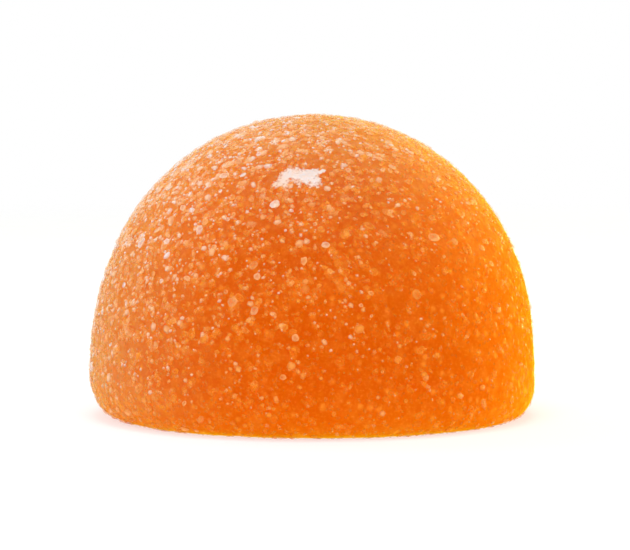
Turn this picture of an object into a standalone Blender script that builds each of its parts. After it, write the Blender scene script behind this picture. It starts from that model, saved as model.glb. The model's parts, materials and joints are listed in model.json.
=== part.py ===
"""A sugared jelly dome: one soft fruit jelly with a rounded foot, a full round crown and a coat of sugar.

The largest sugar crystals are fused to the jelly as real relief, so the sweet is one closed solid.
Metres, +Z up. The origin is the middle of the flat face that the sweet stands on.
"""

import bisect
import math
import random

import bmesh
import bpy
from mathutils import Matrix, Vector

# Driving dimensions of the jelly
WAIST_RADIUS = 0.01392
WAIST_HEIGHT = 0.00246
FOOT_RADIUS = 0.01214
CROWN_HEIGHT = 0.01885

# How full the rounded foot and the crown are: 2 is an ellipse, more is squarer
FOOT_FULLNESS = 2.1
CROWN_FULLNESS = 2.3

# Unevenness of a moulded sweet: the waist sits a little left of the crown, and the foot a little right
WAIST_LEAN = -0.00011
FOOT_LEAN = 0.00012
LEAN_FADES_BY = 0.011
LOBES = (  # (waves round the sweet, share of the radius, turn in degrees)
    (2, 0.0016, 40.0),
    (3, 0.0042, 75.0),
    (5, 0.0020, 200.0),
)

# Facets of the jelly
SEGMENTS = 76
FOOT_RINGS = 5
CROWN_RINGS = 20

# The largest sugar crystals
CRYSTALS = 260
CRYSTAL_LENGTH = (0.00052, 0.00082)
CRYSTAL_WIDTH = (0.00040, 0.00060)
CRYSTAL_DEPTH = 0.00048
CRYSTAL_PROUD = (0.00006, 0.00013)
CRYSTAL_SLANT = 0.22
CRYSTAL_TIP = 12.0
CORNER_DIP = (0.2, 0.5)
LOWEST_CRYSTAL = 0.07
SPACING_JITTER = 0.30
SPOT_SEED = 41
CORNER_SEED = 19

JELLY_ORANGE = (0.86, 0.145, 0.006, 1.0)
JELLY_ROUGHNESS = 0.38

GOLDEN_ANGLE = math.pi * (3.0 - math.sqrt(5.0))
PROFILE_STEPS = 400
SMALL_STEP = 1e-3


def clear_scene():
    """Empties the file that the script starts in."""
    for old in list(bpy.data.objects):
        bpy.data.objects.remove(old)


def profile(way):
    """(radius, height) of the jelly's outline: way is 0 at the foot's edge, 1 at the waist and 2 at the crown."""
    if way < 1.0:
        turn = way * math.pi / 2
        out = math.sin(turn) ** (2 / FOOT_FULLNESS)
        drop = math.cos(turn) ** (2 / FOOT_FULLNESS)
        return FOOT_RADIUS + (WAIST_RADIUS - FOOT_RADIUS) * out, WAIST_HEIGHT * (1 - drop)
    turn = (way - 1.0) * math.pi / 2
    rise = math.sin(turn) ** (2 / CROWN_FULLNESS)
    return WAIST_RADIUS * math.cos(turn), WAIST_HEIGHT + (CROWN_HEIGHT - WAIST_HEIGHT) * rise


def lean(height):
    """How far the jelly's middle lies along X at this height."""
    if height < WAIST_HEIGHT:
        share = height / WAIST_HEIGHT
        return FOOT_LEAN + (WAIST_LEAN - FOOT_LEAN) * share
    share = min(1.0, (height - WAIST_HEIGHT) / (LEAN_FADES_BY - WAIST_HEIGHT))
    return WAIST_LEAN * (1 - share * share * (3 - 2 * share))


def jelly_point(way, angle):
    """A point of the jelly's skin, with its unevenness."""
    radius, height = profile(way)
    swell = sum(size * math.cos(waves * angle + math.radians(turn)) for waves, size, turn in LOBES)
    radius *= 1 + swell * radius / WAIST_RADIUS
    return Vector((radius * math.cos(angle) + lean(height), radius * math.sin(angle), height))


def jelly_normal(way, angle):
    """The direction straight out of the skin."""
    up = jelly_point(min(way + SMALL_STEP, 2.0), angle) - jelly_point(way - SMALL_STEP, angle)
    round_about = jelly_point(way, angle + SMALL_STEP) - jelly_point(way, angle - SMALL_STEP)
    return round_about.cross(up).normalized()


def ring_ways():
    """Where each ring of points lies on the outline, evenly along its length in the foot and in the crown."""
    ways = [step / FOOT_RINGS for step in range(FOOT_RINGS)]
    return ways + [1 + even_way(step / CROWN_RINGS) for step in range(CROWN_RINGS)]


def even_way(share):
    """The way up the crown, 0 to 1, at this share of the crown outline's length."""
    lengths = [0.0]
    for step in range(PROFILE_STEPS):
        low = Vector(profile(1 + step / PROFILE_STEPS))
        high = Vector(profile(1 + (step + 1) / PROFILE_STEPS))
        lengths.append(lengths[-1] + (high - low).length)
    wanted = share * lengths[-1]
    step = max(1, bisect.bisect_left(lengths, wanted))
    part = (wanted - lengths[step - 1]) / (lengths[step] - lengths[step - 1])
    return (step - 1 + part) / PROFILE_STEPS


def build_jelly(material):
    """The bare jelly: rings of points bridged from the flat foot to the crown's tip."""
    bm = bmesh.new()
    rings = []
    for way in ring_ways():
        points = [bm.verts.new(jelly_point(way, math.tau * k / SEGMENTS)) for k in range(SEGMENTS)]
        edges = [bm.edges.new((points[k - 1], points[k])) for k in range(SEGMENTS)]
        rings.append((points, edges))
    for (_, lower), (_, upper) in zip(rings, rings[1:]):
        bmesh.ops.bridge_loops(bm, edges=lower + upper)
    bm.faces.new(reversed(rings[0][0]))
    tip = bm.verts.new(jelly_point(2.0, 0.0))
    last = rings[-1][0]
    for k in range(SEGMENTS):
        bm.faces.new((last[k - 1], last[k], tip))
    bmesh.ops.recalc_face_normals(bm, faces=bm.faces)

    mesh = bpy.data.meshes.new("sugared_jelly")
    bm.to_mesh(mesh)
    bm.free()
    mesh.materials.append(material)
    jelly = bpy.data.objects.new("sugared_jelly", mesh)
    bpy.context.scene.collection.objects.link(jelly)
    return jelly


def area_table():
    """The skin's area below each step of the outline, from the foot's edge up."""
    ways = [2 * step / PROFILE_STEPS for step in range(PROFILE_STEPS + 1)]
    areas = [0.0]
    for low_way, high_way in zip(ways, ways[1:]):
        low, high = Vector(profile(low_way)), Vector(profile(high_way))
        areas.append(areas[-1] + math.pi * (low.x + high.x) * (high - low).length)
    return ways, areas


def crystal_spots(draw):
    """(way, angle) of each crystal: a golden-angle spiral of even area, each spot then shifted a little."""
    ways, areas = area_table()
    lowest = LOWEST_CRYSTAL * areas[-1]
    each = (areas[-1] - lowest) / CRYSTALS
    shift = SPACING_JITTER * math.sqrt(each)
    for count in range(CRYSTALS):
        below = lowest + each * (count + 0.5)
        way = ways[bisect.bisect_left(areas, below)]
        way += draw.uniform(-1, 1) * shift / WAIST_RADIUS / 2
        radius = max(profile(min(way, 2.0))[0], CRYSTAL_LENGTH[1])
        angle = GOLDEN_ANGLE * count + draw.uniform(-1, 1) * shift / radius
        yield min(way, 2 - 2 * SMALL_STEP), angle


def crystal_mesh(length, width, draw):
    """One sugar crystal: a slanting block with its top face at height 0 and two of its corners cut off."""
    bm = bmesh.new()
    bmesh.ops.create_cube(bm, size=1.0)
    bmesh.ops.scale(bm, vec=(length, width, CRYSTAL_DEPTH), verts=bm.verts)
    bmesh.ops.translate(bm, vec=(0, 0, -CRYSTAL_DEPTH / 2), verts=bm.verts)
    for vert in bm.verts:
        vert.co.x += CRYSTAL_SLANT * vert.co.z
    for side in (-1, 1):
        corner = Vector((side * length * 0.30, side * width * 0.30, 0))
        across = Vector((side * width, side * length, draw.uniform(*CORNER_DIP) * length)).normalized()
        everything = bm.verts[:] + bm.edges[:] + bm.faces[:]
        bmesh.ops.bisect_plane(bm, geom=everything, plane_co=corner, plane_no=across, clear_outer=True)
        bmesh.ops.holes_fill(bm, edges=[edge for edge in bm.edges if edge.is_boundary])
    bmesh.ops.recalc_face_normals(bm, faces=bm.faces)
    mesh = bpy.data.meshes.new("crystal")
    bm.to_mesh(mesh)
    bm.free()
    return mesh


def crystal_pose(way, angle, draw):
    """Sets a crystal into the skin: turned at random, tipped a little, and standing a little proud."""
    normal = jelly_normal(way, angle)
    tip_axis = Vector((draw.uniform(-1, 1), draw.uniform(-1, 1), 0)).normalized()
    tip = Matrix.Rotation(math.radians(draw.uniform(0, CRYSTAL_TIP)), 4, tip_axis)
    spin = Matrix.Rotation(draw.uniform(0, math.tau), 4, "Z")
    place = Matrix.Translation(jelly_point(way, angle) + normal * draw.uniform(*CRYSTAL_PROUD))
    return place @ normal.to_track_quat("Z", "Y").to_matrix().to_4x4() @ spin @ tip


def build_crystals():
    """A collection of loose crystals, each sunk into the skin where it will be fused."""
    draw = random.Random(SPOT_SEED)
    corner_draw = random.Random(CORNER_SEED)
    sugar = bpy.data.collections.new("sugar")
    bpy.context.scene.collection.children.link(sugar)
    for way, angle in crystal_spots(draw):
        length = draw.uniform(*CRYSTAL_LENGTH)
        width = draw.uniform(*CRYSTAL_WIDTH)
        crystal = bpy.data.objects.new("crystal", crystal_mesh(length, width, corner_draw))
        crystal.matrix_world = crystal_pose(way, angle, draw)
        sugar.objects.link(crystal)
    return sugar


def fuse(jelly, sugar):
    """Joins the crystals to the jelly as one solid, and removes the loose ones."""
    union = jelly.modifiers.new("fuse_sugar", "BOOLEAN")
    union.operation = "UNION"
    union.operand_type = "COLLECTION"
    union.collection = sugar
    union.solver = "EXACT"
    bpy.context.view_layer.objects.active = jelly
    bpy.ops.object.modifier_apply(modifier=union.name)
    for crystal in list(sugar.objects):
        mesh = crystal.data
        bpy.data.objects.remove(crystal)
        bpy.data.meshes.remove(mesh)
    bpy.data.collections.remove(sugar)


def jelly_material():
    """Translucent orange jelly under sugar."""
    material = bpy.data.materials.new("sugared_jelly")
    material.use_nodes = True
    shader = material.node_tree.nodes["Principled BSDF"]
    shader.inputs["Base Color"].default_value = JELLY_ORANGE
    shader.inputs["Roughness"].default_value = JELLY_ROUGHNESS
    shader.inputs["Metallic"].default_value = 0.0
    return material


def main():
    clear_scene()
    jelly = build_jelly(jelly_material())
    fuse(jelly, build_crystals())
    jelly.data.shade_smooth()
    jelly.data.set_sharp_from_angle(angle=math.radians(22))


main()
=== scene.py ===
import bisect
import json
import math
import random

import bmesh
import bpy
import numpy as np
from mathutils import Matrix, Vector, noise

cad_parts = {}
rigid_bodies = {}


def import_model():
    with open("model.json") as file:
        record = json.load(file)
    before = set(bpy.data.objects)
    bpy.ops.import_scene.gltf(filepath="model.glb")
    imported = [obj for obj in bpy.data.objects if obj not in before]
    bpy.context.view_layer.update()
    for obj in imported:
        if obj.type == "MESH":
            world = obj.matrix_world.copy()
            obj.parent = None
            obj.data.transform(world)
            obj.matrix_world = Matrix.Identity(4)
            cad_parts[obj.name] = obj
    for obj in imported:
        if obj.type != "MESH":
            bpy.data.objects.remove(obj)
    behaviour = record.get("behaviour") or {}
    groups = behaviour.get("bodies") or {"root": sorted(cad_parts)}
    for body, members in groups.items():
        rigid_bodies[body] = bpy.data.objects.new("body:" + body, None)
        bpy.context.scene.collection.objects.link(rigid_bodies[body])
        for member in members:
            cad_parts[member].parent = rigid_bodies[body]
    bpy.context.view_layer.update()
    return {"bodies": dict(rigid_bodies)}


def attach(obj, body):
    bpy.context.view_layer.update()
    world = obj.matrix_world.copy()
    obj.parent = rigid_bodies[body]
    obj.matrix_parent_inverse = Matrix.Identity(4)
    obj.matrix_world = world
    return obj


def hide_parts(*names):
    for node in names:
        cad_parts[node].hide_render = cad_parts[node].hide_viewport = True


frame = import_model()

mm = 0.001
goldenAngle = math.pi * (3 - math.sqrt(5))


# Small helpers

def deselectAll():
    if bpy.context.mode != "OBJECT":
        bpy.ops.object.mode_set(mode="OBJECT")
    bpy.ops.object.select_all(action="DESELECT")


def makeActive(piece):
    deselectAll()
    piece.select_set(True)
    bpy.context.view_layer.objects.active = piece


def addModifier(piece, kind, **settings):
    # adds a modifier and applies it at once
    makeActive(piece)
    modifier = piece.modifiers.new(kind.lower(), kind)
    for name, value in settings.items():
        setattr(modifier, name, value)
    bpy.ops.object.modifier_apply(modifier=modifier.name)


# Shader nodes: sums on sockets read as plain Python

class Wire:
    def __init__(self, paint, socket):
        self.paint = paint
        self.socket = socket

    def sum(self, operation, first, second):
        return self.paint.node("ShaderNodeMath", {"operation": operation}, {0: first, 1: second})

    def __add__(self, other):
        return self.sum("ADD", self, other)

    def __sub__(self, other):
        return self.sum("SUBTRACT", self, other)

    def __rsub__(self, other):
        return self.sum("SUBTRACT", other, self)

    def __mul__(self, other):
        return self.sum("MULTIPLY", self, other)

    def __pow__(self, other):
        return self.sum("POWER", self, other)

    __radd__ = __add__
    __rmul__ = __mul__


class Paint:
    # one material, with its Principled shader and a way to add nodes
    def __init__(self, name):
        self.material = bpy.data.materials.new(name)
        self.material.use_nodes = True
        self.tree = self.material.node_tree
        self.shader = self.tree.nodes["Principled BSDF"]

    def node(self, kind, settings=None, sockets=None, out=0):
        made = self.tree.nodes.new(kind)
        for name, value in (settings or {}).items():
            if name == "stops":
                self.setStops(made.color_ramp, value)
            else:
                setattr(made, name, value)
        for name, value in (sockets or {}).items():
            self.feed(made.inputs[name], value)
        return Wire(self, made.outputs[out])

    def setStops(self, ramp, stops):
        while len(ramp.elements) < len(stops):
            ramp.elements.new(0.5)
        for element, (position, colour) in zip(ramp.elements, stops):
            element.position = position
            element.color = (*colour, 1)

    def feed(self, socket, value):
        if isinstance(value, Wire):
            self.tree.links.new(value.socket, socket)
        elif hasattr(value, "__len__") and len(value) == 3 and socket.type == "RGBA":
            socket.default_value = (*value, 1)
        else:
            socket.default_value = value

    def finish(self, sockets):
        for name, value in sockets.items():
            self.feed(self.shader.inputs[name], value)
        return self.material

    def here(self):
        return self.node("ShaderNodeTexCoord", out="Object")

    def facing(self, way):
        # 1 where the surface faces that way, 0 from a right angle on
        skin = self.node("ShaderNodeTexCoord", out="Normal")
        dot = {"operation": "DOT_PRODUCT"}
        along = self.node("ShaderNodeVectorMath", dot, {0: skin, 1: way}, out="Value")
        return self.node("ShaderNodeMath", {"operation": "MAXIMUM"}, {0: along, 1: 0})

    def noise(self, size, detail=3):
        # size is a feature's rough width in metres
        sockets = {"Vector": self.here(), "Scale": 1 / size, "Detail": detail}
        return self.node("ShaderNodeTexNoise", None, sockets)

    def grains(self, size, out="Distance"):
        return self.node("ShaderNodeTexVoronoi", None, {"Vector": self.here(), "Scale": 1 / size}, out)

    def step(self, value, low, high):
        settings = {"interpolation_type": "SMOOTHSTEP"}
        return self.node("ShaderNodeMapRange", settings, {"Value": value, "From Min": low, "From Max": high})

    def mix(self, share, first, second):
        return self.node("ShaderNodeMix", {"data_type": "RGBA"}, {0: share, 6: first, 7: second}, out=2)

    def bump(self, height, distance, strength, over=None):
        sockets = {"Height": height, "Distance": distance, "Strength": strength}
        if over is not None:
            sockets["Normal"] = over
        return self.node("ShaderNodeBump", None, sockets)


# The jelly's outline, with the same sizes as the solid that it stands for

jelly = {
    "waistRadius": 13.92 * mm,
    "waistHeight": 2.46 * mm,
    "footRadius": 12.14 * mm,
    "crownHeight": 18.85 * mm,
    "footFullness": 2.1,
    "crownFullness": 2.3,
    "waistLean": -0.11 * mm,
    "footLean": 0.12 * mm,
    "leanFadesBy": 11 * mm,
    "lobes": ((2, 0.0016, 40), (3, 0.0042, 75), (5, 0.0020, 200)),  # waves, share, degrees
    "baseRings": (0.35, 0.7, 0.93),  # shares of the foot's radius
    "footPoints": 7,
    "crownPoints": 32,
    "spinSteps": 120,
    "smoothing": 2,
    "skinWaves": (3.2 * mm, 0.10 * mm),  # size and depth of the moulded skin's slow waves
    "grainDents": (0.55 * mm, 0.11 * mm),  # and of the soft dents that grains pressed into it
    "baseLift": 0.05 * mm,  # the sweet stands on its sugar
}


def outline(way):
    # radius and height: way is 0 at the foot's edge, 1 at the waist and 2 at the crown's tip
    foot, waist, level = jelly["footRadius"], jelly["waistRadius"], jelly["waistHeight"]
    if way < 1:
        turn = way * math.pi / 2
        out = math.sin(turn) ** (2 / jelly["footFullness"])
        drop = math.cos(turn) ** (2 / jelly["footFullness"])
        return foot + (waist - foot) * out, level * (1 - drop)
    turn = (way - 1) * math.pi / 2
    rise = math.sin(turn) ** (2 / jelly["crownFullness"])
    return waist * math.cos(turn), level + (jelly["crownHeight"] - level) * rise


def lean(height):
    waist = jelly["waistHeight"]
    if height < waist:
        return jelly["footLean"] + (jelly["waistLean"] - jelly["footLean"]) * height / waist
    share = min(1, (height - waist) / (jelly["leanFadesBy"] - waist))
    return jelly["waistLean"] * (1 - share * share * (3 - 2 * share))


def unevenPoint(radius, height, angle):
    # moves a point of the true round shape to where the uneven sweet has it
    swell = sum(size * math.cos(waves * angle + math.radians(turn)) for waves, size, turn in jelly["lobes"])
    radius *= 1 + swell * radius / jelly["waistRadius"]
    return Vector((radius * math.cos(angle) + lean(height), radius * math.sin(angle), height))


def skinPoint(way, angle):
    return unevenPoint(*outline(way), angle)


def skinNormal(way, angle, step=1e-3):
    up = skinPoint(min(way + step, 2), angle) - skinPoint(way - step, angle)
    roundAbout = skinPoint(way, angle + step) - skinPoint(way, angle - step)
    return roundAbout.cross(up).normalized()


def drawOutline():
    # one vertex drawn out along the outline by extrusion, from the middle of the base to the tip
    bpy.ops.mesh.primitive_plane_add(size=mm, location=(0, 0, 0))
    piece = bpy.context.object
    bpy.ops.object.mode_set(mode="EDIT")
    bpy.ops.mesh.select_all(action="SELECT")
    bpy.ops.mesh.merge(type="CENTER")
    ways = [k / jelly["footPoints"] for k in range(jelly["footPoints"])]
    ways += [1 + k / jelly["crownPoints"] for k in range(jelly["crownPoints"] + 1)]
    points = [(jelly["footRadius"] * share, 0) for share in jelly["baseRings"]]
    points += [outline(way) for way in ways]
    lastRadius, lastHeight = 0, 0
    for radius, height in points:
        shift = (radius - lastRadius, 0, height - lastHeight)
        bpy.ops.mesh.extrude_region_move(TRANSFORM_OT_translate={"value": shift})
        lastRadius, lastHeight = radius, height
    return piece


def modelJelly():
    deselectAll()
    piece = drawOutline()
    piece.name = "jellyDome"
    bpy.ops.mesh.select_all(action="SELECT")
    bpy.ops.mesh.spin(steps=jelly["spinSteps"], angle=math.tau, center=(0, 0, 0), axis=(0, 0, 1))
    bpy.ops.mesh.select_all(action="SELECT")
    bpy.ops.mesh.remove_doubles(threshold=0.02 * mm)
    bpy.ops.mesh.normals_make_consistent(inside=False)
    bpy.ops.object.mode_set(mode="OBJECT")
    for vertex in piece.data.vertices:
        x, y, z = vertex.co
        vertex.co = unevenPoint(math.hypot(x, y), z, math.atan2(y, x))
    addModifier(piece, "SUBSURF", levels=jelly["smoothing"], render_levels=jelly["smoothing"])
    pressSkin(piece)
    piece.data.shade_smooth()
    return piece


def cloudTexture(name, size):
    texture = bpy.data.textures.new(name, "CLOUDS")
    texture.noise_scale = size
    return texture


def pressSkin(piece):
    for name in ("skinWaves", "grainDents"):
        size, depth = jelly[name]
        texture = cloudTexture(name, size)
        settings = {"texture": texture, "texture_coords": "LOCAL", "strength": depth}
        addModifier(piece, "DISPLACE", **settings)
    lift = jelly["baseLift"]
    for vertex in piece.data.vertices:
        vertex.co.z = max(vertex.co.z, lift)


print("modelling the jelly")
jellyDome = modelJelly()
print("jelly triangles", sum(len(p.vertices) - 2 for p in jellyDome.data.polygons))


# Sugar: a few shapes of each kind are modelled, then strewn as one joined mesh

shapesOfEach = 8  # how many shapes of a kind are modelled

largeSugar = {  # the crystals that the solid has too, so these sizes and the draws' order are the solid's
    "count": 260,
    "length": (0.52 * mm, 0.82 * mm),
    "width": (0.40 * mm, 0.60 * mm),
    "depth": 0.48 * mm,
    "proud": (0.06 * mm, 0.13 * mm),
    "tip": 12,  # degrees
    "lowest": 0.07,  # the share of the skin, from the foot up, that has none
    "jitter": 0.30,
    "seed": 41,
    "rings": 0.35,  # the share of crystals that are clearer in their middle than at their rim
    "frosty": 0.10,
    "footShade": 1.0,  # how strongly the painted shade about its foot darkens
    "whitest": 1.0,  # how white the few whitest may be where the sugar isn't dry and isn't painted as lit
    "cover": (0.2, 0.75),  # how well it hides the jelly, from the clearest crystal to the whitest
    "block": {"jitter": 0.10, "skew": 0.10, "bevel": 0.26, "segments": 1, "inset": 0.10, "melt": 0.6},
}

blockSugar = {
    "count": 3600,
    "size": (0.18 * mm, 0.64 * mm),
    "thick": (0.40, 0.65),  # of its size
    "proud": (0.35, 0.55),  # of its thickness
    "tip": 16,
    "seed": 12,
    "rings": 0.3,
    "frosty": 0.10,
    "footShade": 1.0,
    "whitest": 1.0,
    "cover": (0.15, 0.9),
    "block": {"jitter": 0.18, "skew": 0.10, "bevel": 0.27, "segments": 1, "inset": 0.10, "melt": 0.6},
}

roundSugar = {
    "count": 9400,
    "size": (0.15 * mm, 0.51 * mm),
    "thick": (0.40, 0.70),
    "proud": (0.40, 0.60),
    "tip": 16,
    "seed": 31,
    "rings": 0.25,
    "frosty": 0.10,
    "footShade": 1.0,
    "whitest": 0.84,
    "cover": (0.15, 0.9),
    "grainJitter": 0.12,
}

fineSugar = {
    "count": 19000,
    "size": (0.15 * mm, 0.34 * mm),
    "thick": (0.5, 0.9),
    "proud": (0.4, 0.6),
    "tip": 30,
    "seed": 77,
    "rings": 0.0,
    "frosty": 0.22,
    "footShade": 0.0,
    "whitest": 0.74,
    "cover": (0.08, 0.85),
    "grainJitter": 0.12,
}

cakeAndHighlight = {  # a raised cake of fine sugar on the front of the crown, and thin traces above it, painted near white as a highlight of the overhead lamp
    "angle": -94.7,
    "height": 15.35 * mm,
    "aside": (-4.2 * mm, 3.0 * mm),
    "upward": (-1.3 * mm, 4.9 * mm),
    "cells": (120, 104),
    "sunk": -0.05 * mm,
    "raised": 0.09 * mm,
    "lump": 0.28 * mm,
    "ragged": 0.45,  # how far its edge wanders
    "edge": (0.28, 0.5),  # the fill that it starts at, and how much more makes it whole
    "cover": 0.95,
    "lobes": (  # aside, up the slope, half width, half height, thickness, frost
        (-0.52 * mm, 0.52 * mm, 0.50 * mm, 0.56 * mm, 1.0, 1.0),
        (0.63 * mm, 0.42 * mm, 0.60 * mm, 0.50 * mm, 1.0, 1.0),
        (1.35 * mm, 0.58 * mm, 0.34 * mm, 0.20 * mm, 0.9, 1.0),
        (0.05 * mm, 0.05 * mm, 0.55 * mm, 0.50 * mm, 1.0, 1.0),
        (-1.10 * mm, 0.10 * mm, 0.46 * mm, 0.60 * mm, 0.9, 0.98),
        (-1.50 * mm, -0.60 * mm, 0.50 * mm, 0.46 * mm, 0.65, 0.92),
        (0.80 * mm, -0.42 * mm, 0.60 * mm, 0.50 * mm, 0.8, 1.0),
        (-0.65 * mm, -0.62 * mm, 0.60 * mm, 0.42 * mm, 0.6, 0.93),
        (-3.00 * mm, 3.60 * mm, 0.80 * mm, 0.80 * mm, 0.75, 0.93),
        (1.40 * mm, 3.70 * mm, 0.70 * mm, 0.80 * mm, 0.70, 0.93),
        (1.95 * mm, 2.70 * mm, 0.60 * mm, 0.70 * mm, 0.60, 0.92),
    ),
}


def topFace(mesh):
    # the widest face that looks up
    upward = [face for face in mesh.faces if face.normal.z > 0.8]
    return max(upward, key=lambda face: face.calc_area())


def modelBlock(seed, look):
    # one rounded sugar block about a unit across
    deselectAll()
    bpy.ops.mesh.primitive_cube_add(size=1, location=(0, 0, 0))
    block = bpy.context.object
    bpy.ops.object.mode_set(mode="EDIT")
    bpy.ops.mesh.select_all(action="SELECT")
    bpy.ops.transform.vertex_random(offset=look["jitter"], uniform=0.3, normal=0, seed=seed)
    bpy.ops.mesh.select_all(action="DESELECT")
    mesh = bmesh.from_edit_mesh(block.data)
    topFace(mesh).select_set(True)
    bmesh.update_edit_mesh(block.data)
    bpy.ops.transform.translate(value=(look["skew"], look["skew"] / 2, 0))
    bpy.ops.mesh.select_all(action="SELECT")
    bpy.ops.mesh.bevel(offset=look["bevel"], segments=look["segments"], affect="EDGES")
    bpy.ops.mesh.select_all(action="SELECT")
    bpy.ops.mesh.vertices_smooth(factor=look["melt"])
    bpy.ops.mesh.select_all(action="DESELECT")
    mesh = bmesh.from_edit_mesh(block.data)
    topFace(mesh).select_set(True)
    bmesh.update_edit_mesh(block.data)
    bpy.ops.mesh.inset(thickness=look["inset"])
    bpy.ops.object.mode_set(mode="OBJECT")
    return takeShape(block)


def modelGrain(seed, jitter):
    deselectAll()
    bpy.ops.mesh.primitive_ico_sphere_add(subdivisions=1, radius=0.55, location=(0, 0, 0))
    return roughen(bpy.context.object, seed, jitter)


def modelSpeck(seed, jitter):
    # the finest sugar has five sides, and its lower half, which is sunk in the jelly, is drawn to a point
    deselectAll()
    bpy.ops.mesh.primitive_uv_sphere_add(segments=5, ring_count=3, radius=0.55, location=(0, 0, 0))
    speck = bpy.context.object
    bpy.ops.object.mode_set(mode="EDIT")
    bpy.ops.mesh.select_all(action="DESELECT")
    mesh = bmesh.from_edit_mesh(speck.data)
    for vertex in mesh.verts:
        vertex.select_set(vertex.co.z < 0)
    bmesh.update_edit_mesh(speck.data)
    bpy.ops.mesh.merge(type="CENTER")
    return roughen(speck, seed, jitter)


def roughen(grain, seed, jitter):
    makeActive(grain)
    bpy.ops.object.mode_set(mode="EDIT")
    bpy.ops.mesh.select_all(action="SELECT")
    bpy.ops.transform.vertex_random(offset=jitter, uniform=0.5, normal=0, seed=seed)
    bpy.ops.object.mode_set(mode="OBJECT")
    return takeShape(grain)


def takeShape(piece):
    # reads a modelled shape into arrays, a unit across and with its top at height 0, and removes the piece
    mesh = piece.data
    mesh.calc_loop_triangles()
    points = np.array([vertex.co for vertex in mesh.vertices])
    faces = np.array([triangle.vertices for triangle in mesh.loop_triangles])
    points /= points.max(axis=0) - points.min(axis=0)
    points[:, 2] -= points[:, 2].max()
    bpy.data.objects.remove(piece)
    bpy.data.meshes.remove(mesh)
    return points, faces


def areaTable(steps=400):
    ways = [2 * k / steps for k in range(steps + 1)]
    areas = [0.0]
    for lowWay, highWay in zip(ways, ways[1:]):
        low, high = Vector(outline(lowWay)), Vector(outline(highWay))
        areas.append(areas[-1] + math.pi * (low.x + high.x) * (high - low).length)
    return ways, areas


ways, areas = areaTable()


def largeSpots(draw):
    # the same golden-angle spiral as on the solid, so each large crystal stands where the solid has it
    lowest = largeSugar["lowest"] * areas[-1]
    each = (areas[-1] - lowest) / largeSugar["count"]
    shift = largeSugar["jitter"] * math.sqrt(each)
    for count in range(largeSugar["count"]):
        way = ways[bisect.bisect_left(areas, lowest + each * (count + 0.5))]
        way += draw.uniform(-1, 1) * shift / jelly["waistRadius"] / 2
        radius = max(outline(min(way, 2))[0], largeSugar["length"][1])
        angle = goldenAngle * count + draw.uniform(-1, 1) * shift / radius
        yield min(way, 1.998), angle  # just short of the tip


def crystalPose(point, normal, draw, sugar, thickness=1):
    tipAxis = Vector((draw.uniform(-1, 1), draw.uniform(-1, 1), 0)).normalized()
    tipTurn = Matrix.Rotation(math.radians(draw.uniform(0, sugar["tip"])), 4, tipAxis)
    spin = Matrix.Rotation(draw.uniform(0, math.tau), 4, "Z")
    place = Matrix.Translation(point + normal * draw.uniform(*sugar["proud"]) * thickness)
    return place @ normal.to_track_quat("Z", "Y").to_matrix().to_4x4() @ spin @ tipTurn


def strewLarge(sugar):
    draw = random.Random(sugar["seed"])
    for way, angle in largeSpots(draw):
        length = draw.uniform(*sugar["length"])
        width = draw.uniform(*sugar["width"])
        pose = crystalPose(skinPoint(way, angle), skinNormal(way, angle), draw, sugar)
        yield pose, (length, width, sugar["depth"])


def drawSizes(draw, sugar):
    small, large = sugar["size"]
    size = small + (large - small) * draw.random() ** 2
    length, width = size * draw.uniform(0.9, 1.25), size * draw.uniform(0.75, 1.0)
    return length, width, size * draw.uniform(*sugar["thick"])


coat = {
    "driestAndLitSide": Vector((-0.30, 0.0, 0.95)),  # the side that the sugar stayed dry on, and that is painted as lit by the lamps above and on the left: up, and a little left
    "thinnest": 0.05,
    "drift": (2.6 * mm, 0.3),  # size and strength of the slow change in how thick the coat is
    "patch": (0.9 * mm, 1.4, 2.3),  # size, strength and sharpness of the clusters in it
    "wetShare": 0.36,  # how much sugar stuck where it melted
    "dryShare": 0.65,  # how much more stuck where it stayed dry
    "leftward": 0.3,  # how much more of it lies on the left
    "evenness": 0.45,  # how far the crystals' shading leans to the skin's
    "underside": 0.4,  # how thick the coat is under the sweet, next to its sides
    "lowest": 0.01 * mm,  # no crystal goes below this, just clear of what the sweet stands on
}


def dryAndLit(normal):
    # 0 where the sugar has melted clear, 1 where it stayed dry; the same share paints crystals whiter where
    # the lamps above and on the left light them
    return max(0, normal.dot(coat["driestAndLitSide"])) ** 1.5


def crowding(way, angle, point, normal):
    # how likely a grain is to have stuck here
    driftSize, driftShare = coat["drift"]
    patchSize, patchShare, sharpness = coat["patch"]
    drift = 0.5 + 0.5 * noise.noise(point / driftSize)
    patch = 0.5 + 0.5 * noise.noise(point / patchSize + Vector((7, 1, 4)))
    stuck = coat["wetShare"] + coat["dryShare"] * dryAndLit(normal) + coat["leftward"] * max(0, -normal.x)
    # no grains over the cake, so its painted highlight stays clean
    bare = 1 - min(1, cakeHighlightFill(*cakeHighlightSpot(way, angle))[0])
    return (coat["thinnest"] + driftShare * drift + patchShare * patch ** sharpness) * stuck * bare


cakeHighlightMiddle = bisect.bisect_left([outline(way)[1] for way in ways], cakeAndHighlight["height"])
cakeHighlightRadius = outline(ways[cakeHighlightMiddle])[0]
cakeHighlightStep = (Vector(outline(ways[cakeHighlightMiddle + 1])) - Vector(outline(ways[cakeHighlightMiddle]))).length
cakeHighlightSlope = cakeHighlightStep / (ways[1] - ways[0])


def cakeHighlightSpot(way, angle):
    # how far a place lies aside of the cake's middle and up the slope from it
    turn = (angle - math.radians(cakeAndHighlight["angle"]) + math.pi) % math.tau - math.pi
    return turn * cakeHighlightRadius, (way - ways[cakeHighlightMiddle]) * cakeHighlightSlope


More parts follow.
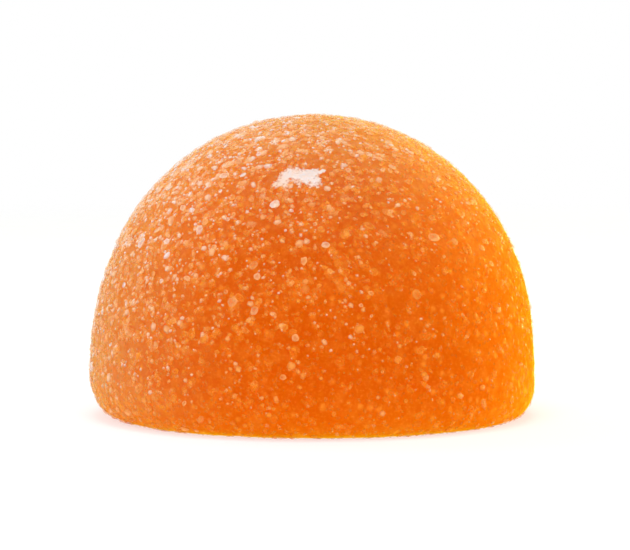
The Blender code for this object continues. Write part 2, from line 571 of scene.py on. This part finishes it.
def cakeHighlightFill(aside, upward):
    # how thick the cake lies at a spot, and its frost, the white of its painted highlight, from the lobes
    # around it
    fill, frosted = 1e-9, 0
    for middleAside, middleUp, halfWidth, halfHeight, thickness, frost in cakeAndHighlight["lobes"]:
        reach = math.hypot((aside - middleAside) / halfWidth, (upward - middleUp) / halfHeight)
        part = thickness * math.exp(-1.2 * reach * reach)
        fill += part
        frosted += part * frost
    return fill, frosted / fill


def strewSmall(sugar):
    draw = random.Random(sugar["seed"])
    baseArea = math.pi * jelly["footRadius"] ** 2
    baseShare = coat["underside"] * baseArea / (areas[-1] + baseArea)
    made = 0
    while made < sugar["count"]:
        angle = draw.uniform(0, math.tau)
        sizes = drawSizes(draw, sugar)
        if draw.random() < baseShare:
            point = unevenPoint(jelly["footRadius"] * math.sqrt(draw.random()), 0, angle)
            pose = basePose(point, draw)
        else:
            above = bisect.bisect_left(areas, draw.uniform(areas[2], areas[-1]))
            way = ways[above] - draw.random() * ways[1]
            point, normal = skinPoint(way, angle), skinNormal(way, angle)
            if draw.random() > crowding(way, angle, point, normal):
                continue
            pose = crystalPose(point, normal, draw, sugar, sizes[2])
        made += 1
        yield pose, sizes


def basePose(point, draw):
    # a crystal under the sweet lies flat, just above what the sweet stands on
    point.z = draw.uniform(coat["lowest"], jelly["baseLift"] / 2)
    turn = Matrix.Rotation(math.pi, 4, "X") @ Matrix.Rotation(draw.uniform(0, math.tau), 4, "Z")
    return Matrix.Translation(point) @ turn


driedAndLit = {
    "frost": 0.62,  # on the driest side, whiter partly as painted light from the lamps above and on the left
    "left": 0.50,  # how much drier the left side is, and how much more painted light it gets
    "spread": 0.2,  # how far it varies from crystal to crystal
    "rareWhiteAndGlint": 0.45,  # how much whiter the few whitest are, partly as painted glints
    "rarity": 6,
    "least": 0.12,
    "clearRight": 0.6,  # how much clearer the right side is
    "clearMiddle": 0.65,  # how clear a ringed crystal's middle is
    "clearRim": 0.6,  # how clear any other crystal's rim is
    "clearSide": 0.65,
}

frostStops = (
    (0.0, (0.60, 0.100, 0.002)),  # the painted shade about a crystal's foot
    (0.09, (1.0, 0.22, 0.004)),
    (0.3, (1.0, 0.35, 0.04)),
    (0.6, (0.99, 0.52, 0.24)),
    (0.85, (0.98, 0.70, 0.52)),
    (0.93, (0.95, 0.78, 0.71)),
    (1.0, (0.88, 0.83, 0.86)),
)


def edgeShares(points):
    # how near each of a crystal's points is to its edge, seen from above, and how far down its side
    edge = np.clip(np.abs(points[:, :2]).max(axis=1) / 0.45, 0, 1) ** 2
    side = np.clip((-points[:, 2] - 0.35) / 0.4, 0, 1)
    return edge, side


def driedAndLitLook(draw, sugar, outward, points):
    # how frosted each of a crystal's points is, whiter where painted as lit and darker in the painted shade
    # about its foot, and how well it covers the jelly
    # painted light: crystals on the top and the left, where the lamps fall, are frosted whiter as well as
    # being drier
    dryLit = dryAndLit(outward) + driedAndLit["left"] * max(0, -outward.x) ** 2
    # the few whitest crystals: white sugar, and partly painted glints
    rareWhiteAndGlint = draw.random() ** driedAndLit["rarity"]
    frost = sugar["frosty"] + (driedAndLit["frost"] - sugar["frosty"]) * dryLit
    frost += driedAndLit["spread"] * (draw.random() - 0.5)
    frost += driedAndLit["rareWhiteAndGlint"] * rareWhiteAndGlint * (0.7 + dryLit)
    thin, full = sugar["cover"]
    cover = thin + (full - thin) * min(1, 0.5 * draw.random() ** 1.5 + 0.7 * dryLit * draw.random() + rareWhiteAndGlint)
    cover *= 1 - driedAndLit["clearRight"] * max(0, outward.x) ** 2
    edge, side = edgeShares(points)
    ringed = draw.random() < sugar["rings"]
    clear = driedAndLit["clearMiddle"] * (1 - edge) if ringed else driedAndLit["clearRim"] * edge
    clear = np.maximum(clear * (1 - side), driedAndLit["clearSide"] * side)
    whitest = sugar["whitest"] + (1 - sugar["whitest"]) * dryLit
    # the painted shade darkens the crystal's side down to its foot
    return min(1, whitest, max(driedAndLit["least"], frost)) - sugar["footShade"] * side, cover * (1 - clear)


def setLook(mesh, frosts, covers):
    for title, values in (("frost", frosts), ("cover", covers)):
        attribute = mesh.attributes.new(title, "FLOAT", "POINT")
        attribute.data.foreach_set("value", np.asarray(values, dtype=np.float32))


def leanNormals(mesh, outwards, share):
    # sugar is translucent, so its sides are lit much as the skin around it is
    own = np.empty(len(mesh.vertices) * 3, dtype=np.float32)
    mesh.vertex_normals.foreach_get("vector", own)
    leaned = own.reshape(-1, 3) * (1 - share) + outwards * share
    leaned /= np.linalg.norm(leaned, axis=1, keepdims=True)
    mesh.normals_split_custom_set_from_vertices(leaned.tolist())


def joinSugar(name, sugar, shapes, strewn):
    # one mesh for each kind of sugar: shape after shape, each sized, turned and set with its top at the spot
    draw = random.Random(sugar["seed"] + 1)
    allPoints, allFaces, frosts, covers, outwards, total = [], [], [], [], [], 0
    for pose, sizes in strewn:
        points, faces = shapes[draw.randrange(len(shapes))]
        matrix = np.array(pose)
        placed = points * sizes @ matrix[:3, :3].T + matrix[:3, 3]
        placed[:, 2] = np.maximum(placed[:, 2], coat["lowest"])
        allPoints.append(placed)
        allFaces.append(faces + total)
        total += len(points)
        outward = pose.to_3x3() @ Vector((0, 0, 1))
        frost, cover = driedAndLitLook(draw, sugar, outward, points)
        frosts.append(frost)
        outwards.append(np.tile(np.array(outward), (len(points), 1)))
        covers.append(cover)
    mesh = bpy.data.meshes.new(name)
    mesh.from_pydata(np.concatenate(allPoints).tolist(), [], np.concatenate(allFaces).tolist())
    setLook(mesh, np.concatenate(frosts), np.concatenate(covers))
    piece = bpy.data.objects.new(name, mesh)
    bpy.context.scene.collection.objects.link(piece)
    mesh.shade_smooth()
    leanNormals(mesh, np.concatenate(outwards), coat["evenness"])
    print(name, "triangles", len(mesh.polygons))
    return piece


def modelCakeAndHighlight():
    # a fine grid laid over the skin: it rises out of the jelly where the sugar has caked, and is painted
    # near white as the overhead lamp's highlight
    deselectAll()
    across, along = cakeAndHighlight["cells"]
    bpy.ops.mesh.primitive_grid_add(x_subdivisions=across, y_subdivisions=along, size=2, location=(0, 0, 0))
    piece = bpy.context.object
    piece.name = "sugarSmear"
    starts, whole = cakeAndHighlight["edge"]
    frosts, covers = [], []
    for vertex in piece.data.vertices:
        aside = np.interp(vertex.co.x, (-1, 1), cakeAndHighlight["aside"])
        upward = np.interp(vertex.co.y, (-1, 1), cakeAndHighlight["upward"])
        spot = Vector((aside, upward, 0)) / cakeAndHighlight["lump"]
        fill, frost = cakeHighlightFill(aside, upward)
        ragged = noise.noise(spot) + 0.8 * noise.noise(spot * 2.3) + 0.5 * noise.noise(spot * 4.4)
        rise = min(1, max(0, (fill + cakeAndHighlight["ragged"] * ragged - starts) / whole))
        lump = 0.5 + 0.5 * noise.noise(spot * 1.6 + Vector((5, 3, 1)))
        height = cakeAndHighlight["sunk"] + cakeAndHighlight["raised"] * rise * (0.75 + 0.5 * lump)
        way = ways[cakeHighlightMiddle] + upward / cakeHighlightSlope
        angle = math.radians(cakeAndHighlight["angle"]) + aside / cakeHighlightRadius
        vertex.co = skinPoint(way, angle) + skinNormal(way, angle) * height
        frosts.append(frost - 0.10 * (1 - rise) - 0.10 * lump)
        covers.append(cakeAndHighlight["cover"] * rise ** 1.5)
    setLook(piece.data, frosts, covers)
    piece.data.shade_smooth()
    return piece


print("strewing the sugar")
largeShapes = [modelBlock(seed, largeSugar["block"]) for seed in range(shapesOfEach)]
blockShapes = [modelBlock(seed + 20, blockSugar["block"]) for seed in range(shapesOfEach)]
roundShapes = [modelGrain(seed, roundSugar["grainJitter"]) for seed in range(shapesOfEach)]
fineShapes = [modelSpeck(seed + 20, fineSugar["grainJitter"]) for seed in range(shapesOfEach)]
largeCrystals = joinSugar("largeCrystals", largeSugar, largeShapes, strewLarge(largeSugar))
blockCrystals = joinSugar("blockCrystals", blockSugar, blockShapes, strewSmall(blockSugar))
roundCrystals = joinSugar("roundCrystals", roundSugar, roundShapes, strewSmall(roundSugar))
fineCrystals = joinSugar("fineCrystals", fineSugar, fineShapes, strewSmall(fineSugar))
allSugar = (largeCrystals, blockCrystals, roundCrystals, fineCrystals, modelCakeAndHighlight())


# Materials

jellyLook = {
    "deep": (0.72, 0.114, 0.001),
    "ripe": (0.75, 0.132, 0.002),
    "pale": (0.92, 0.29, 0.03),  # where sugar has melted into it
    "dustAndSheen": (0.80, 0.45, 0.19),  # where a film of fine sugar lies on it, and painted sheen where the top and the left catch the lamps
    "dustAndSheenAbove": 0.40,
    "dustAndSheenLeft": 0.42,
    "grain": 0.55 * mm,
}


def jellyFinish():
    paint = Paint("orangeJelly")
    cloud = paint.noise(5 * mm, detail=2)
    body = paint.mix(paint.step(cloud, 0.25, 0.75), jellyLook["deep"], jellyLook["ripe"])
    grain = paint.grains(jellyLook["grain"])
    lit = paint.grains(jellyLook["grain"], out="Color")
    chosen = paint.step(paint.node("ShaderNodeSeparateColor", None, {"Color": lit}), 0.5, 0.95)
    melted = (1 - paint.step(grain, 0.1, 0.5)) * chosen
    dots = paint.step(paint.noise(0.14 * mm, detail=2), 0.48, 0.72)
    haze = paint.step(paint.noise(0.9 * mm), 0.45, 0.75)
    speckled = paint.mix(melted * 0.6 + dots * 0.3 + haze * 0.25, body, jellyLook["pale"])
    drift = paint.noise(0.8 * mm)
    # painted sheen: the top and the left are paled where the lamps light them, along with a film of fine
    # sugar
    above, left = paint.facing((0, 0, 1)) ** 3, paint.facing((-1, 0, 0)) ** 3
    dustAndSheenFilm = (jellyLook["dustAndSheenAbove"] * above + jellyLook["dustAndSheenLeft"] * left) * (0.2 + 1.6 * drift)
    fine = paint.noise(0.16 * mm, detail=4)
    dents = paint.bump(grain, 0.03 * mm, 0.6)
    return paint.finish({
        "Base Color": paint.mix(dustAndSheenFilm, speckled, jellyLook["dustAndSheen"]),
        "Roughness": 0.28 + 0.3 * drift,
        "Normal": paint.bump(fine, 0.02 * mm, 0.5, over=dents),
        "Specular IOR Level": 0.0,
        "Subsurface Weight": 1.0,
        "Subsurface Radius": (1.0, 1.4, 0.3),
        "Subsurface Scale": 8 * mm,
    })


def sugarFinish(name):
    paint = Paint(name)
    paint.material.use_backface_culling = True  # a crystal's far side doesn't show through it
    frost = paint.node("ShaderNodeAttribute", {"attribute_name": "frost"}, out="Fac")
    cover = paint.node("ShaderNodeAttribute", {"attribute_name": "cover"}, out="Fac")
    inner = paint.node("ShaderNodeNewGeometry", out="Backfacing")
    cloudy = paint.noise(0.12 * mm, detail=2)
    hazed = frost + 0.12 * (cloudy - 0.5)
    return paint.finish({
        "Base Color": paint.node("ShaderNodeValToRGB", {"stops": frostStops}, {"Fac": hazed}),
        "Alpha": cover * (1 - inner),
        "Roughness": 0.15 + 0.3 * cloudy,
        "Normal": paint.bump(cloudy, 0.03 * mm, 0.6),
        "Coat Weight": 0.2 * paint.step(frost, 0.6, 1.1),
        "Coat Roughness": 0.12,
        "IOR": 1.5,
        "Specular IOR Level": 0.1,
    })


print("painting")
jellyDome.data.materials.append(jellyFinish())
for piece in allSugar:
    piece.data.materials.append(sugarFinish(piece.name + "Finish"))


# What each piece stands for and rides on

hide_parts("sugared_jelly")
for piece in (jellyDome, *allSugar):
    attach(piece, next(iter(frame["bodies"])))


# Studio: pale floor, soft lights and the camera

view = {
    "elevation": 4.5,  # degrees
    "distance": 213.7 * mm,
    "pixel": 0.06286 * mm,  # one photo pixel at the sweet
    "photoSize": (630, 550),
    "axisAt": (314.3, 265.4),  # where the photo has the middle of the sweet's axis
    "sensor": 36,  # millimetres, as Blender has it
}


def setCamera():
    aim = Vector((0, 0, jelly["crownHeight"] / 2))
    up = Vector((0, math.sin(math.radians(view["elevation"])), math.cos(math.radians(view["elevation"]))))
    side = (view["photoSize"][0] / 2 - view["axisAt"][0]) * view["pixel"]
    drop = (view["photoSize"][1] / 2 - view["axisAt"][1]) * view["pixel"]
    aim += Vector((side, 0, 0)) - up * drop
    away = Vector((0, -math.cos(math.radians(view["elevation"])), math.sin(math.radians(view["elevation"]))))
    camera = bpy.data.cameras.new("camera")
    camera.sensor_width = view["sensor"]
    camera.lens = view["sensor"] * view["distance"] / (view["photoSize"][0] * view["pixel"])
    camera.clip_start = 1 * mm
    holder = bpy.data.objects.new("camera", camera)
    holder.location = aim + away * view["distance"]
    holder.rotation_euler = away.to_track_quat("Z", "Y").to_euler()
    bpy.context.scene.collection.objects.link(holder)
    bpy.context.scene.camera = holder


def softLight(name, azimuth, elevation, size, level, colour):
    # level is how bright it alone makes a white sheet that faces it
    light = bpy.data.lights.new(name, "AREA")
    light.shape = "RECTANGLE"
    light.size, light.size_y = size
    light.energy = level * (math.pi * studio["lightDistance"]) ** 2
    light.color = colour
    holder = bpy.data.objects.new(name, light)
    around, up = math.radians(azimuth - 90), math.radians(elevation)
    way = Vector((math.cos(around) * math.cos(up), math.sin(around) * math.cos(up), math.sin(up)))
    holder.location = way * studio["lightDistance"] + Vector((0, 0, jelly["crownHeight"] / 2))
    holder.rotation_euler = way.to_track_quat("Z", "Y").to_euler()
    bpy.context.scene.collection.objects.link(holder)


def paleFloor():
    deselectAll()
    bpy.ops.mesh.primitive_plane_add(size=3, location=(0, 0, 0))
    floor = bpy.context.object
    floor.name = "floor"
    paint = Paint("paleFloor")
    near, far = studio["floorFades"]
    away = paint.node("ShaderNodeVectorMath", {"operation": "LENGTH"}, {0: paint.here()}, out="Value")
    faded = paint.step(away, near, far)
    floor.data.materials.append(paint.finish({
        "Base Color": studio["floorGrey"],
        "Roughness": 0.9,
        "Specular IOR Level": 0.0,
        "Alpha": 1 - faded,
        "Emission Color": (1, 1, 1),
        "Emission Strength": studio["floorGlow"],
    }))


def paleWorld():
    # white behind the sweet and in its shine, and a weaker glow for its light
    world = bpy.data.worlds.new("studio")
    world.use_nodes = True
    nodes, links = world.node_tree.nodes, world.node_tree.links
    seen = nodes.new("ShaderNodeLightPath")
    either = nodes.new("ShaderNodeMath")
    either.operation = "MAXIMUM"
    links.new(seen.outputs["Is Camera Ray"], either.inputs[0])
    links.new(seen.outputs["Is Glossy Ray"], either.inputs[1])
    strength = nodes.new("ShaderNodeMapRange")
    strength.inputs["To Min"].default_value = studio["glow"]
    strength.inputs["To Max"].default_value = 1.0
    links.new(either.outputs[0], strength.inputs["Value"])
    nodes["Background"].inputs["Color"].default_value = (1, 1, 1, 1)
    links.new(strength.outputs["Result"], nodes["Background"].inputs["Strength"])
    bpy.context.scene.world = world


studio = {
    "glow": 0.13,
    "floorGlow": 0.60,
    "floorGrey": (0.5, 0.5, 0.5),
    "lightDistance": 260 * mm,
    "floorFades": (110 * mm, 240 * mm),
    "lights": (  # name, azimuth from the camera towards +X, elevation, size, level, colour
        ("overhead", -9, 81, (130 * mm, 80 * mm), 0.37, (1, 1, 1)),
        ("backSky", -165, 48, (260 * mm, 130 * mm), 0.24, (1, 1, 1)),
        ("leftBack", -115, 20, (140 * mm, 180 * mm), 0.34, (1, 1, 1)),
        ("rightBack", 122, 5, (240 * mm, 100 * mm), 1.68, (0.85, 1.0, 0.36)),
        ("frontFill", -2, 28, (240 * mm, 200 * mm), 0.51, (1, 0.96, 0.90)),
    ),
}

setCamera()
paleFloor()
paleWorld()
for light in studio["lights"]:
    softLight(*light)
bpy.context.scene.view_settings.view_transform = "Standard"
bpy.context.scene.cycles.transparent_max_bounces = 64  # at the limb many clear crystals lie in a row
